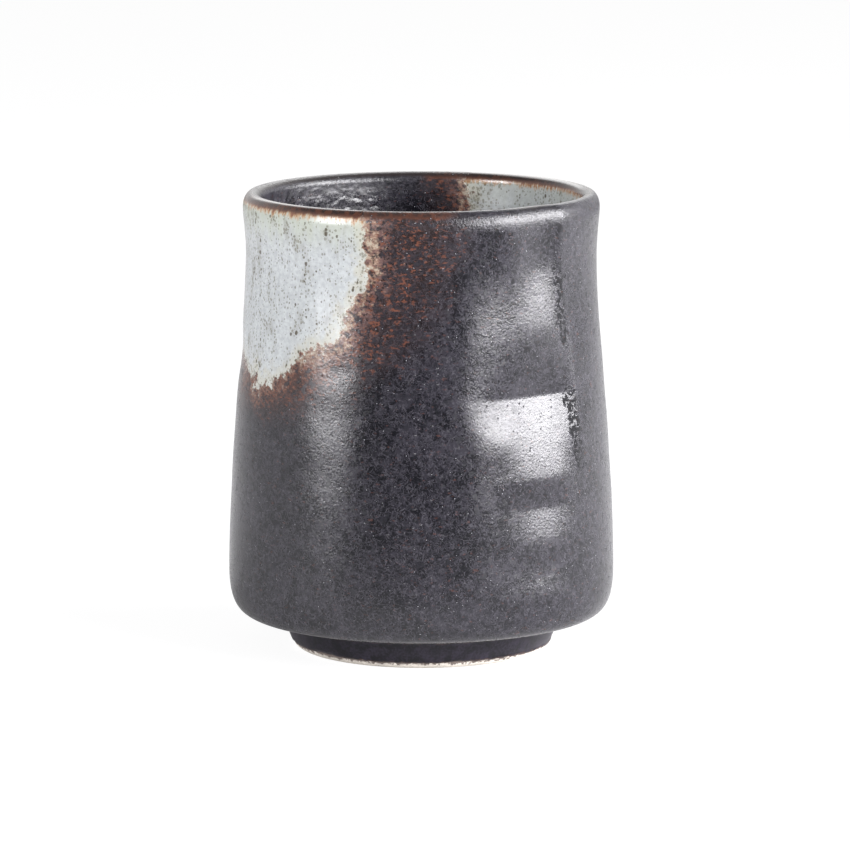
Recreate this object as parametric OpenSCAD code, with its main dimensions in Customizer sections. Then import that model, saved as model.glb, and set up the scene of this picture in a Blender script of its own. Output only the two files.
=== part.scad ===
// Yunomi tea cup: a thrown stoneware body, luted onto a foot ring, under its coats of glaze.
// The origin is the middle of the foot on the table, +Z is up and the front is -Y.
// Angles turn from the front towards +X, which is the right-hand side of the cup.

/* [Body] */
// Height from the table to the top of the lip
cup_h = 95; // [90:0.5:110]
// Diameter of the belly, the widest ring of the glazed wall
belly_d = 80; // [77:0.5:90]
// Height of the belly's widest ring
belly_z = 16.3; // [14.5:0.1:20]
// How far the wall's middle lies inside the belly's widest ring
middle_in = 2.45; // [1:0.05:3.5]
// Height of the wall's middle
middle_z = 60; // [45:0.5:68]
// Inward lean of the wall at its middle, in degrees
middle_lean_angle = 4.6; // [1:0.1:6]
// How far the neck, the narrowest ring below the lip, lies inside the belly's widest ring
neck_in = 3.8; // [2.5:0.05:5]
// Height of the neck
neck_z = 81.5; // [74:0.5:86]
// How far the lip flares out beyond the neck
lip_out = 0.6; // [0:0.05:1.5]
// Thickness of the glazed wall, which is the width of the lip too
wall_t = 3.8; // [3:0.1:5]
// Height of the lip's outer rounding, which is taller than it is deep
lip_shoulder = 3.2; // [2.6:0.1:4]
// Thickness of the floor, from the underside to the floor's glaze
floor_t = 5.4; // [4:0.1:8]
// Rounding between the inner wall and the floor
floor_round = 11; // [6:0.5:14]
// Width of the straight stretch of the underside, from the foot to the curve of the belly
underside_w = 4.1; // [1:0.1:6]
// Rise of the underside towards the belly, in degrees
underside_angle = 11.3; // [4:0.1:14]

/* [Foot ring] */
// Height of the foot, from the table to the glazed underside
foot_h = 6.2; // [5:0.1:8]
// Diameter of the glazed foot where it meets the underside
foot_top_d = 58; // [50:0.5:61]
// How far the foot's side slopes in from its top to its rounded lower edge
foot_taper = 2.2; // [0.5:0.1:4]
// Width of the foot ring at its lower edge
foot_w = 5; // [4:0.1:7]
// Rounding of the outer lower edge of the foot
foot_edge = 1.8; // [0.8:0.1:2.4]
// Rounding of the inner lower edge of the foot
foot_inner_edge = 0.9; // [0.4:0.1:1.4]
// Height of the clay left bare at the bottom of the foot
bare_h = 1.4; // [0.8:0.1:3]
// Thickness of the slip that lutes the foot ring to the body
slip_t = 0.4; // [0.2:0.05:0.8]

/* [Glaze] */
// Thickness of the dark glaze
glaze_t = 0.4; // [0.2:0.05:0.6]
// Thickness of the pale glaze that lies on the dark one
pale_t = 0.25; // [0.1:0.05:0.5]
// Where the middle of the outer pale patch is, in degrees
pale_angle = 300; // [0:5:360]
// Half of the outer pale patch's spread round the cup, in degrees
pale_spread_angle = 45; // [15:1:70]
// How far the outer pale patch runs down from the lip
pale_drop = 37; // [15:1:60]
// Where the middle of the inner pale patch is, in degrees
inner_pale_angle = 120; // [0:5:360]
// Half of the inner pale patch's spread round the cup, in degrees
inner_pale_spread_angle = 44; // [15:1:70]
// How far the inner pale patch runs down from the lip
inner_pale_drop = 30; // [12:1:50]

/* [Finger marks] */
// Depth of the deepest mark that the fingers pressed into the wall
mark_depth = 1.0; // [0:0.05:1.4]
// Half of that mark's height
mark_h = 9; // [6:0.5:12]
// Half of that mark's spread round the cup, in degrees
mark_spread_angle = 30; // [15:1:45]

/* [Hidden] */
$fn = 96;

// Flat sides round the cup, and rows of them along each stretch of its section
around = 48;
underside_rows = 2;
belly_rows = 6;
wall_rows = 17;
lip_half_rows = 3;
inner_rows = 11;
corner_rows = 5;
// Columns and rows of a pale patch
patch_columns = 14;
patch_rows = 9;

// Clearance where a flat-sided coat passes the round foot, and under a pale patch
seam_gap = 0.03;
patch_gap = 0.06;
// Pull of the belly's curve outwards along the underside and down from the widest ring, as
// shares of the curve's width and height
underside_pull_share = 0.35;
belly_pull_share = 1.12;
// Radius of the innermost row on the floor, as a share of the flat floor's radius
floor_hub_share = 0.4;
// How far the edge of a pale patch wanders, as a share of its spread
patch_wave_share = 0.06;
// Width of a pale patch's lowest row, as a share of its spread
patch_tip_share = 0.2;

// How a mark falls from its deepest line to its edge: soft at both, creased at the deepest line,
// creased at the edge, nearly straight, or between
soft_fall = [2, 2];
crease_fall = [2, 0];
edge_fall = [1, 1];
straight_fall = [1.1, 0];
slack_fall = [1.5, 0];
// One row for each mark: its turn round the cup and its height from belly to neck, then its
// reach to the left, right, down and up and its depth, as shares of the deepest mark's
mark_shares = [
    [0.117, 0.621, 1.10, 0.47, 1.65, 1.55, 1.40],
    [0.118, 1.100, 0.46, 0.28, 2.1, 3.0, 1.00],
    [0.122, 0.520, 0.55, 0.36, 3.4, 3.6, 0.35],
    [0.108, 0.275, 0.65, 0.55, 1.3, 0.7, 0.70],
    [0.114, 0.120, 0.55, 0.50, 0.7, 0.5, 0.22],
    [0.098, 1.215, 0.40, 0.36, 0.7, 0.5, 0.30],
    [0.928, 0.563, 0.60, 0.50, 1.1, 0.7, 0.10],
    [0.926, 0.700, 0.28, 0.28, 0.8, 0.8, 0.12],
    [0.420, 0.620, 1.20, 1.20, 1.2, 1.0, 0.65],
    [0.610, 0.480, 1.10, 1.10, 1.0, 0.9, 0.50],
    [0.760, 0.700, 0.90, 0.90, 0.8, 0.8, 0.32]
];
// The falls of the same marks to the left, right, down and up
mark_falls = [
    [soft_fall, edge_fall, straight_fall, slack_fall],
    [soft_fall, edge_fall, soft_fall, soft_fall],
    [soft_fall, edge_fall, soft_fall, soft_fall],
    [soft_fall, soft_fall, straight_fall, soft_fall],
    [soft_fall, soft_fall, soft_fall, soft_fall],
    [soft_fall, edge_fall, straight_fall, soft_fall],
    [soft_fall, soft_fall, soft_fall, soft_fall],
    [soft_fall, soft_fall, crease_fall, soft_fall],
    [soft_fall, soft_fall, crease_fall, soft_fall],
    [soft_fall, soft_fall, soft_fall, soft_fall],
    [soft_fall, soft_fall, soft_fall, soft_fall]
];

belly_r = belly_d / 2;
middle_r = belly_r - middle_in;
neck_r = belly_r - neck_in;
lip_r = neck_r + lip_out;
lip_half = wall_t / 2;
lip_z = cup_h - lip_half;
foot_top_r = foot_top_d / 2;
foot_low_r = foot_top_r - foot_taper;
foot_clay_r = foot_top_r - glaze_t;
foot_in_r = foot_low_r - foot_w;
// Level of the clay underside, which the slip holds to the top of the foot ring
seat_z = foot_h + glaze_t;
ring_top_z = seat_z - slip_t;
// The flat sides of the underside's first row clear the round foot
seam_r = foot_top_r / cos(180 / around) + seam_gap;
under_r = seam_r + underside_w;
under_z = foot_h + (under_r - seam_r) * tan(underside_angle);
floor_z = foot_h + floor_t;
corner_z = floor_z + floor_round;

// A curve from one value to another over a span, with a slope at each end
function eased(start, end, start_slope, end_slope, span, t) =
    (2 * t ^ 3 - 3 * t ^ 2 + 1) * start + (3 * t ^ 2 - 2 * t ^ 3) * end
    + (t ^ 3 - 2 * t ^ 2 + t) * span * start_slope + (t ^ 3 - t ^ 2) * span * end_slope;

function bezier(a, b, c, d, t) =
    (1 - t) ^ 3 * a + 3 * (1 - t) ^ 2 * t * b + 3 * (1 - t) * t ^ 2 * c + t ^ 3 * d;

// Radius of the glazed wall at a height: belly, middle, neck and lip, joined smoothly
function wall_r(z) =
    z < belly_z ? belly_r
    : z < middle_z ? eased(belly_r, middle_r, 0, -tan(middle_lean_angle), middle_z - belly_z,
        (z - belly_z) / (middle_z - belly_z))
    : z < neck_z ? eased(middle_r, neck_r, -tan(middle_lean_angle), 0, neck_z - middle_z,
        (z - middle_z) / (neck_z - middle_z))
    : eased(neck_r, lip_r, 0, 0, lip_z - neck_z, (z - neck_z) / (lip_z - neck_z));

// The glazed section as [radius, height], from the foot up the outside, over the lip, down
// the inside and in across the floor
belly_start = [under_r, under_z];
belly_end = [belly_r, belly_z];
underside_pull = underside_pull_share * (belly_r - under_r);
belly_pull = belly_pull_share * (belly_z - under_z);
corner_r = wall_r(corner_z) - wall_t - floor_round;
lip_start_angle = asin(1 - lip_half / lip_shoulder);
section = [
    for (k = [0 : underside_rows - 1]) [seam_r, foot_h] + (belly_start - [seam_r, foot_h]) * k / underside_rows,
    for (k = [0 : belly_rows - 1]) bezier(
        belly_start, belly_start + underside_pull * [1, tan(underside_angle)],
        belly_end - [0, belly_pull], belly_end, k / belly_rows),
    for (k = [0 : wall_rows - 1]) let (z = belly_z + (lip_z - belly_z) * k / wall_rows) [wall_r(z), z],
    for (k = [0 : lip_half_rows - 1]) let (a = lip_start_angle + (90 - lip_start_angle) * k / lip_half_rows)
        [lip_r - lip_half + lip_half * cos(a), cup_h - lip_shoulder * (1 - sin(a))],
    for (k = [0 : lip_half_rows - 1]) let (a = 90 + 90 * k / lip_half_rows)
        [lip_r - lip_half + lip_half * cos(a), lip_z + lip_half * sin(a)],
    for (k = [0 : inner_rows - 1]) let (z = lip_z + (corner_z - lip_z) * k / inner_rows) [wall_r(z) - wall_t, z],
    for (k = [0 : corner_rows]) let (a = 90 * k / corner_rows)
        [corner_r + floor_round * cos(a), corner_z - floor_round * sin(a)],
    [corner_r * floor_hub_share, floor_z]
];
wall_row = underside_rows + belly_rows;
lip_row = wall_row + wall_rows;
inner_row = lip_row + 2 * lip_half_rows;
last_row = len(section) - 1;

// Outward direction of the glazed face at a row, square to the line between its neighbours
function face_way(k) =
    k == 0 ? [0, -1]
    : k == last_row ? [0, 1]
    : let (d = section[k + 1] - section[k - 1]) [d.y, -d.x] / norm(d);

// A point of the section, moved out from the glazed face by a thickness
function lifted(k, t) = section[k] + t * face_way(k);

// One at 0, falling to zero at minus one and one, each side by its own power and slope
function fallen(t, before, after) = let (fall = t < 0 ? before : after, share = min(1, abs(t)))
    pow(1 - share, fall.x) * (1 + fall.y * share);

function turned(a, b) = (a - b + 540) % 360 - 180;
function total(list) = list * [for (v = list) 1];

// How far the finger marks move the wall at an angle and a height, inwards as a minus
function push(a, z) = -mark_depth * total([
    for (k = [0 : len(mark_shares) - 1])
        let (
            mark = mark_shares[k],
            fall = mark_falls[k],
            aside = turned(a, 360 * mark[0]),
            above = z - belly_z - (neck_z - belly_z) * mark[1],
            round_share = aside / ((aside < 0 ? mark[2] : mark[3]) * mark_spread_angle),
            up_share = above / ((above < 0 ? mark[4] : mark[5]) * mark_h)
        )
        mark[6] * fallen(round_share, fall[0], fall[1]) * fallen(up_share, fall[2], fall[3])
]);

function at_angle(a, r, z) = [r * sin(a), -r * cos(a), z];

// Rings of points for rows of the section at one thickness, with the finger marks pressed in
function rings(ks, t) = [
    for (k = ks) let (p = lifted(k, t)) [
        for (i = [0 : around - 1]) let (a = 360 * i / around) at_angle(a, p.x + push(a, section[k].y), p.y)
    ]
];

// Two triangles for each flat side between two rings of points, seen from outside
function side_faces(low, high, count) = [
    for (i = [0 : count - 1]) let (j = (i + 1) % count)
        each [[low + i, high + i, high + j], [low + i, high + j, low + j]]
];

// A solid whose rings run along its section and close on themselves, as a band does
module band(loop) {
    n = len(loop);
    polyhedron(
        points = [for (r = loop) each r],
        faces = [for (k = [0 : n - 1]) each side_faces(k * around, (k + 1) % n * around, around)],
        convexity = 6);
}

// A solid whose rings run from one flat round face to another, as a bowl's do
module bowl(chain) {
    n = len(chain);
    polyhedron(
        points = [for (r = chain) each r],
        faces = [
            [for (i = [0 : around - 1]) i],
            for (k = [0 : n - 2]) each side_faces(k * around, (k + 1) * around, around),
            [for (i = [around - 1 : -1 : 0]) (n - 1) * around + i]
        ],
        convexity = 6);
}

// A coat of dark glaze between two rows of the section
module coat(first, last) {
    band(concat(rings([first : last], 0), rings([last : -1 : first], -glaze_t)));
}

// A point of the glazed wall, part of the way between two rows and lifted by a thickness
function on_rows(k, t, a) = let (
    low = floor(k),
    p = lifted(low, t) * (1 - k + low) + lifted(low + 1, t) * (k - low),
    d = push(a, section[low].y) * (1 - k + low) + push(a, section[low + 1].y) * (k - low)
) at_angle(a, p.x + d, p.y);

// A pale patch that hangs from a row by the lip and reaches over some rows towards the belly
// or the floor. Its edge is an ellipse that wanders a little.
function patch_half(spread, s, side) = spread * max(patch_tip_share, sqrt(1 - s ^ 2))
    * (1 + patch_wave_share * sin(side * 290 * s + 70 * side));
function patch_side(start, reach, middle, spread, t) = [
    for (j = [0 : patch_rows]) let (s = sin(90 * j / patch_rows), k = start + reach * s) [
        for (c = [0 : patch_columns]) let (
            left = patch_half(spread, s, -1),
            right = patch_half(spread, s, 1)
        ) on_rows(k, t, middle - left + (left + right) * c / patch_columns)
    ]
];

module patch(start, reach, middle, spread) {
    wide = patch_columns + 1;
    rows = patch_rows + 1;
    // Rows run up the outside and down the inside, so that the faces look outwards
    seat = patch_side(start, reach, middle, spread, patch_gap);
    top = patch_side(start, reach, middle, spread, patch_gap + pale_t);
    order = reach < 0 ? [rows - 1 : -1 : 0] : [0 : rows - 1];
    points = [for (j = order) each top[j], for (j = order) each seat[j]];
    under = rows * wide;
    last = under - wide;
    function sheet(base, flip) = [
        for (j = [0 : rows - 2], c = [0 : wide - 2]) let (
            a = base + j * wide + c,
            b = a + wide
        ) each flip
            ? [[a, b + 1, b], [a, a + 1, b + 1]]
            : [[a, b, b + 1], [a, b + 1, a + 1]]
    ];
    polyhedron(
        points = points,
        faces = concat(
            sheet(0, false), sheet(under, true),
            [for (c = [0 : wide - 2]) each [[c, c + 1, under + c + 1], [c, under + c + 1, under + c]]],
            [for (c = [0 : wide - 2]) each [
                [last + c, under + last + c + 1, last + c + 1], [last + c, under + last + c, under + last + c + 1]
            ]],
            [for (j = [0 : rows - 2]) let (a = j * wide, b = a + wide) each [
                [a, under + a, under + b], [a, under + b, b]
            ]],
            [for (j = [0 : rows - 2]) let (a = j * wide + wide - 1, b = a + wide) each [
                [a, under + b, under + a], [a, b, under + b]
            ]]
        ),
        convexity = 4);
}

// Radius of the foot's clay at a height above its rounded edge
function foot_r(z) = foot_low_r + (foot_clay_r - foot_low_r) * (z - foot_edge) / (ring_top_z - foot_edge);

// Points of a quarter of rounding, from one angle to the next
function arc(middle, radius, from, to) = [
    for (a = [from : (to - from) / 6 : to]) middle + radius * [cos(a), sin(a)]
];

module clay_body() {
    color("#a3927f") bowl(rings([0 : last_row], -glaze_t));
}

module foot_ring() {
    color("#c2ab92") rotate_extrude() polygon(concat(
        arc([foot_in_r + foot_inner_edge, foot_inner_edge], foot_inner_edge, 180, 270),
        arc([foot_low_r - foot_edge, foot_edge], foot_edge, 270, 360),
        [[foot_clay_r, ring_top_z], [foot_in_r, ring_top_z]]
    ));
}

module luting_slip() {
    color("#8f8273") rotate_extrude() polygon([
        [foot_in_r, ring_top_z], [foot_clay_r, ring_top_z], [foot_clay_r, seat_z], [foot_in_r, seat_z]
    ]);
}

module outer_glaze() {
    color("#45464d") coat(0, lip_row);
}

module foot_glaze() {
    edge_z = max(bare_h, foot_edge);
    color("#35343a") rotate_extrude() polygon([
        [foot_r(edge_z), edge_z], [foot_r(edge_z + glaze_t) + glaze_t, edge_z + glaze_t],
        [foot_top_r, foot_h], [foot_top_r, seat_z], [foot_clay_r, seat_z], [foot_clay_r, ring_top_z]
    ]);
}

module base_glaze() {
    skirt_z = max(bare_h, foot_inner_edge);
    color("#3b3a3f") rotate_extrude() polygon([
        [0, seat_z - glaze_t], [foot_in_r - glaze_t, seat_z - glaze_t],
        [foot_in_r - glaze_t, skirt_z + glaze_t], [foot_in_r, skirt_z], [foot_in_r, seat_z], [0, seat_z]
    ]);
}

module lip_glaze() {
    color("#5a4038") coat(lip_row, inner_row);
}

module liner_glaze() {
    color("#3f4047") bowl(concat(
        rings([last_row : -1 : inner_row], -glaze_t),
        rings([inner_row : last_row], 0)
    ));
}

module outer_pale_glaze() {
    color("#ccd6da") patch(lip_row, -wall_rows * pale_drop / (lip_z - belly_z), pale_angle, pale_spread_angle);
}

module inner_pale_glaze() {
    color("#ccd6da") patch(
        inner_row, inner_rows * inner_pale_drop / (lip_z - corner_z), inner_pale_angle, inner_pale_spread_angle);
}

clay_body();
foot_ring();
luting_slip();
outer_glaze();
foot_glaze();
base_glaze();
lip_glaze();
liner_glaze();
outer_pale_glaze();
inner_pale_glaze();
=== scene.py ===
"""Dresses a yunomi tea cup: fine glaze coats, a bare foot and a pale studio round its frame."""
from math import cos, pi, radians, sin

import bpy
import numpy as np
from bpy.props import FloatProperty, FloatVectorProperty, IntProperty, PointerProperty
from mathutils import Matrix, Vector


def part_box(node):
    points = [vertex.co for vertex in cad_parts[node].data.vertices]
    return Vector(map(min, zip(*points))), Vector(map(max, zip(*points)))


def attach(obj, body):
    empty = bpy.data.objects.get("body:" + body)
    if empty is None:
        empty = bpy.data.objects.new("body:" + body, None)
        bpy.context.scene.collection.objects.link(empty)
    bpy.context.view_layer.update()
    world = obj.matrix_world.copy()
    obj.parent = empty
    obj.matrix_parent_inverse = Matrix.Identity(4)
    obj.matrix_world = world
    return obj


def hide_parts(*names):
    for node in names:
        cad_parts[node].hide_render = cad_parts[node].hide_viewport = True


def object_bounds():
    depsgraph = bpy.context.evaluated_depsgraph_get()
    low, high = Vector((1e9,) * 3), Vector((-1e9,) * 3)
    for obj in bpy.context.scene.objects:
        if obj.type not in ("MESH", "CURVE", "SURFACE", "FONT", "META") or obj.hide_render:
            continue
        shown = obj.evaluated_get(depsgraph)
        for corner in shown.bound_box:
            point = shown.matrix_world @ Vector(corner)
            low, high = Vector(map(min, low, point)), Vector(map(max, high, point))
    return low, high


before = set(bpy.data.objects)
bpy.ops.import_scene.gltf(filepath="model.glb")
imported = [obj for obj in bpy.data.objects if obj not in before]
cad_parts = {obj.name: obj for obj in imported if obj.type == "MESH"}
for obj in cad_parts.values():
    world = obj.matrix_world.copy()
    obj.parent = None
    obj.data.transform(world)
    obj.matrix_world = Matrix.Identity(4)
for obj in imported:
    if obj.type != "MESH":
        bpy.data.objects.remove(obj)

bl_info = {
    "name": "Yunomi tea cup",
    "version": (1, 0, 0),
    "blender": (4, 5, 0),
    "location": "View3D > Sidebar > Tea cup",
    "description": "Builds the glaze coats, the foot and the studio of a yunomi tea cup",
    "category": "Object",
}

FRAME_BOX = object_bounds()
MM = 0.001

# Places that the frame gives, in metres
CUP_H = FRAME_BOX[1].z
BELLY_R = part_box("outer_glaze")[1].x
FOOT_TOP_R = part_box("foot_glaze")[1].x
FOOT_IN_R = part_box("base_glaze")[1].x
SEAT_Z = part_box("luting_slip")[1].z
RING_TOP_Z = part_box("foot_ring")[1].z
FLOOR_CLAY_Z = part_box("liner_glaze")[0].z

# The photograph's frame, which the camera repeats
PHOTO_PX = 850
FOCAL_PX = 5096.4
CUP_AXIS_PX = 421.3
SENSOR = 36.0

# Directions in the frame
RIGHT, FRONT, UP = (1, 0, 0), (0, -1, 0), (0, 0, 1)

# Rows of points along each stretch of the glazed section, and the numbers of the stretches
# that are the lip and the inner wall
UNDER_ROWS, BELLY_ROWS, WALL_ROWS, LIP_OUT_ROWS, LIP_IN_ROWS = 12, 44, 176, 22, 20
INNER_ROWS, CORNER_ROWS, FLOOR_ROWS = 150, 36, 26
LIP, INNER = 3, 4

# Pull of the belly's curve along the underside and down from the widest ring, as shares
UNDERSIDE_PULL, BELLY_PULL = 0.35, 1.12
# The marks fade out on the floor within this radius
FADE_R = 12 * MM
# A normal shorter than this has no direction
TINY = 1e-14
# The clay side of each coat has every so manieth row of its face
OUTER_SKIP, LIP_SKIP, LINER_SKIP = 6, 2, 5

# A pale patch: its points, and how deep its edge lies under the dark glaze
PATCH_ROWS, PATCH_COLUMNS, PATCH_SINK = 90, 150, 0.06 * MM
# The foot: points round it and round its glaze, whose edge is finer, height of the bead that
# ends the glaze, and of the grain of the clay
FOOT_COLUMNS, EDGE_COLUMNS = 360, 384
BEAD_H, GRAIN_H = 0.5 * MM, 0.012 * MM

# How far inside the belly the wall lies where the patches are measured
WALL_IN = 3.5 * MM
# The line where the glaze crawled, painted near black partly as its dark body and partly as
# painted shade of the crease: its turn at its low end, in radians, that end's height, how
# much the turn lessens for each metre up, and the height of the gap in the line
CRAWL_TURN, CRAWL_LOW, CRAWL_SLANT, CRAWL_GAP = 0.99, 36 * MM, 2.6, 62 * MM
# Extra chance of specks in the inner pale patch
INNER_EXTRA = 0.05
GLAZE_IOR, FOOT_IOR = 1.52, 1.38

# The two lights' distance, height, widths and tint, and half of the floor's width, in metres
LIGHT_AWAY, LIGHT_H, KEY_W, FILL_W = 1.15, 0.6, 1.44, 0.46
LIGHT_TINT = (0.985, 0.975, 1.0)
FLOOR_HALF = 6.0

# The fall of a finger mark from its deepest line to its edge, as (1 - t)^power * (1 + slope * t):
# soft at both, creased at the deepest line, creased at the edge, nearly straight, or between
SOFT, CREASE, EDGE, STRAIGHT, SLACK = (2, 2), (2, 0), (1, 1), (1.25, 0), (1.6, 0.5)

# One row for each finger mark: its turn round the cup and its height from belly to neck, then
# its reach and fall to the left, right, down and up, as shares of the spread and the height
# of the deepest mark, and its depth in shares of the named depth, below zero for a ridge
MARKS = [
    (0.117, 0.621, 1.10, SOFT, 0.47, EDGE, 1.85, STRAIGHT, 1.70, CREASE, 1.62),
    (0.116, 1.092, 0.46, SOFT, 0.304, EDGE, 2.1, SOFT, 3.0, SOFT, 1.00),
    (0.122, 0.520, 0.55, SOFT, 0.36, EDGE, 3.4, SOFT, 3.6, SOFT, 0.35),
    (0.108, 0.270, 0.66, SOFT, 0.56, SOFT, 1.45, SLACK, 0.7, SOFT, 0.86),
    (0.110, 0.085, 0.70, SOFT, 0.55, SOFT, 0.7, SOFT, 0.7, SOFT, 0.36),
    (0.068, 0.486, 0.50, SOFT, 0.29, SOFT, 0.8, SOFT, 0.8, SOFT, -0.25),
    (0.156, 0.480, 0.38, SOFT, 0.40, SOFT, 0.8, SOFT, 0.8, SOFT, -0.20),
    (0.098, 1.215, 0.40, SOFT, 0.36, EDGE, 0.7, STRAIGHT, 0.5, SOFT, 0.30),
    (0.928, 0.563, 0.60, SOFT, 0.50, SOFT, 1.1, SOFT, 0.7, SOFT, 0.10),
    (0.926, 0.700, 0.28, SOFT, 0.28, SOFT, 0.8, CREASE, 0.8, SOFT, 0.12),
    (0.420, 0.620, 1.20, SOFT, 1.20, SOFT, 1.2, CREASE, 1.0, SOFT, 0.65),
    (0.610, 0.480, 1.10, SOFT, 1.10, SOFT, 1.0, SOFT, 0.9, SOFT, 0.50),
    (0.760, 0.700, 0.90, SOFT, 0.90, SOFT, 0.8, SOFT, 0.8, SOFT, 0.32),
]

# Lobes of the pale patches' edges: angle from straight down, spread, and how far out they reach
PALE_LOBES = [(23, 10, -0.05), (58, 18, 0.02), (95, 12, -0.08), (-30, 16, 0.03), (-75, 20, 0.04)]
INNER_LOBES = [(40, 18, 0.05), (-45, 15, -0.06)]


def length(name, description, default_mm):
    """A length property, with its default given in millimetres."""
    return FloatProperty(name=name, description=description, default=default_mm * MM, precision=5,
                         unit="LENGTH")


def turn(name, description, default_degrees):
    """An angle property, with its default given in degrees."""
    return FloatProperty(name=name, description=description, default=radians(default_degrees),
                         subtype="ANGLE")


def paint(name, description, default):
    """A colour property, in linear light."""
    return FloatVectorProperty(name=name, description=description, default=default, size=3,
                               subtype="COLOR", min=0.0, max=1.0)


def power(name, description, default):
    """A property for a light's power, in watts."""
    return FloatProperty(name=name, description=description, default=default, unit="POWER")


class CupShape(bpy.types.PropertyGroup):
    """Sizes of the glazed body."""
    middle_in: length("Middle inset", "How far the wall's middle lies inside the belly's ring", 2.45)
    middle_z: length("Middle height", "Height of the wall's middle", 60)
    middle_lean: turn("Middle lean", "Inward lean of the wall at its middle", 4.6)
    belly_z: length("Belly height", "Height of the belly's widest ring", 16.3)
    neck_in: length("Neck inset", "How far the neck lies inside the belly's ring", 3.8)
    neck_z: length("Neck height", "Height of the neck", 81.5)
    lip_out: length("Lip flare", "How far the lip flares out beyond the neck", 0.6)
    wall_t: length("Wall", "Thickness of the glazed wall and of the lip", 3.8)
    shoulder: length("Lip shoulder", "Height of the lip's outer rounding, taller than it is deep", 3.2)
    floor_round: length("Floor rounding", "Rounding between the inner wall and the floor", 11)
    underside_w: length("Underside width", "Straight stretch between the foot and the belly", 4.1)
    underside_rise: turn("Underside rise", "Rise of the underside towards the belly", 11.3)
    glaze_t: length("Glaze", "Thickness of the dark glaze", 0.4)
    pale_t: length("Pale glaze", "Thickness of the pale glaze over the dark", 0.12)
    mark_depth: length("Mark depth", "Depth of the deepest finger mark", 1.0)
    mark_h: length("Mark height", "Half of the deepest mark's height", 9)
    mark_spread: turn("Mark spread", "Half of the deepest mark's spread round the cup", 30)
    ripple: length("Ripple", "Height of the slow unevenness that throwing leaves", 0.04)
    columns: IntProperty(name="Columns", description="Points round each ring", default=360,
                         min=48, max=512)


class PalePatches(bpy.types.PropertyGroup):
    """Places and sizes of the two pale patches."""
    outer_angle: turn("Outer place", "Turn of the outer patch from the front", -60)
    outer_half: length("Outer half width", "Half of the outer patch's width along the wall", 29)
    outer_drop: length("Outer drop", "How far the outer patch runs down from the lip", 38.8)
    halo_half: length("Halo half width", "Half of the brown halo's width along the wall", 49)
    halo_drop: length("Halo drop", "How far the brown halo runs down from the lip", 45.5)
    inner_angle: turn("Inner place", "Turn of the inner patch from the front", 122)
    inner_half: length("Inner half width", "Half of the inner patch's width along the wall", 27)
    inner_drop: length("Inner drop", "How far the inner patch runs down from the lip", 31)
    inner_halo_half: length("Inner halo", "Half of the inner halo's width along the wall", 38)
    inner_halo_drop: length("Inner halo drop", "How far the inner halo runs down", 38)


class FootShape(bpy.types.PropertyGroup):
    """Sizes of the foot ring and its glaze."""
    taper: length("Taper", "How far the foot's side slopes in towards the table", 2.2)
    edge: length("Outer rounding", "Rounding of the outer lower edge", 1.8)
    inner_edge: length("Inner rounding", "Rounding of the inner lower edge", 0.9)
    bare_h: length("Bare height", "Mean height of the clay left bare", 1.0)
    wander: length("Edge wander", "How far the glaze's lower edge wanders", 0.4)
    lift: length("Edge lift", "How much higher the glaze ends on one side", 0.35)
    lift_angle: turn("Edge lift place", "Turn of that side from the front", -35)


class GlazeLooks(bpy.types.PropertyGroup):
    """Colours and gloss of the glazes and the clay."""
    iron_dark: paint("Iron black", "Darkest tone of the dark glaze", (0.004, 0.004, 0.006))
    iron_grey: paint("Slate", "Lightest tone of the dark glaze", (0.0215, 0.020, 0.0265))
    vein: paint("Veins", "Fine pale veins in the dark glaze", (0.062, 0.059, 0.070))
    # Glints: a light grey painted in the pinholes' middles, a painted highlight
    painted_glint: paint("Glints", "Bright middles of the pinholes", (0.50, 0.50, 0.54))
    iron_spot: paint("Iron spots", "Blue-black spots in the dark glaze", (0.005, 0.005, 0.009))
    brown: paint("Brown", "Brown mottling round the pale patches", (0.050, 0.027, 0.022))
    brown_light: paint("Pinkish brown", "Lightest mottling next to a pale patch", (0.145, 0.082, 0.073))
    tan: paint("Tan", "Tan blotches where a pale patch ends", (0.34, 0.23, 0.16))
    # Seam: a lighter mauve just above the foot, partly thinner glaze and partly a painted highlight along
    # the seam
    seam: paint("Seam", "Mauve glaze where the body meets the foot", (0.085, 0.068, 0.085))
    rust: paint("Rust", "Rust flecks and the line on the lip", (0.135, 0.05, 0.031))
    amber: paint("Amber", "Thin pale glaze just under the lip's crest", (0.36, 0.19, 0.075))
    pale: paint("Pale", "Body of the pale glaze", (0.435, 0.458, 0.466))
    pale_green: paint("Pale green", "Thin pale glaze near the lip", (0.365, 0.39, 0.325))
    cream: paint("Cream", "Cream edge of the pale glaze", (0.40, 0.385, 0.31))
    olive: paint("Olive", "Small specks in the pale glaze", (0.12, 0.11, 0.075))
    speck: paint("Specks", "Large iron specks in the pale glaze", (0.05, 0.035, 0.02))
    lip: paint("Lip", "Thin glaze over the crest of the lip", (0.014, 0.010, 0.010))
    foot: paint("Foot glaze", "Smooth dark glaze on the foot", (0.021, 0.017, 0.028))
    clay: paint("Clay", "Bare fired clay", (0.72, 0.67, 0.60))
    roughness: FloatProperty(name="Roughness", description="Mean roughness of the dark glaze",
                             default=0.195, min=0.05, max=1.0)
    relief: length("Relief", "Height of the glaze's fine relief", 0.05)


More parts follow.
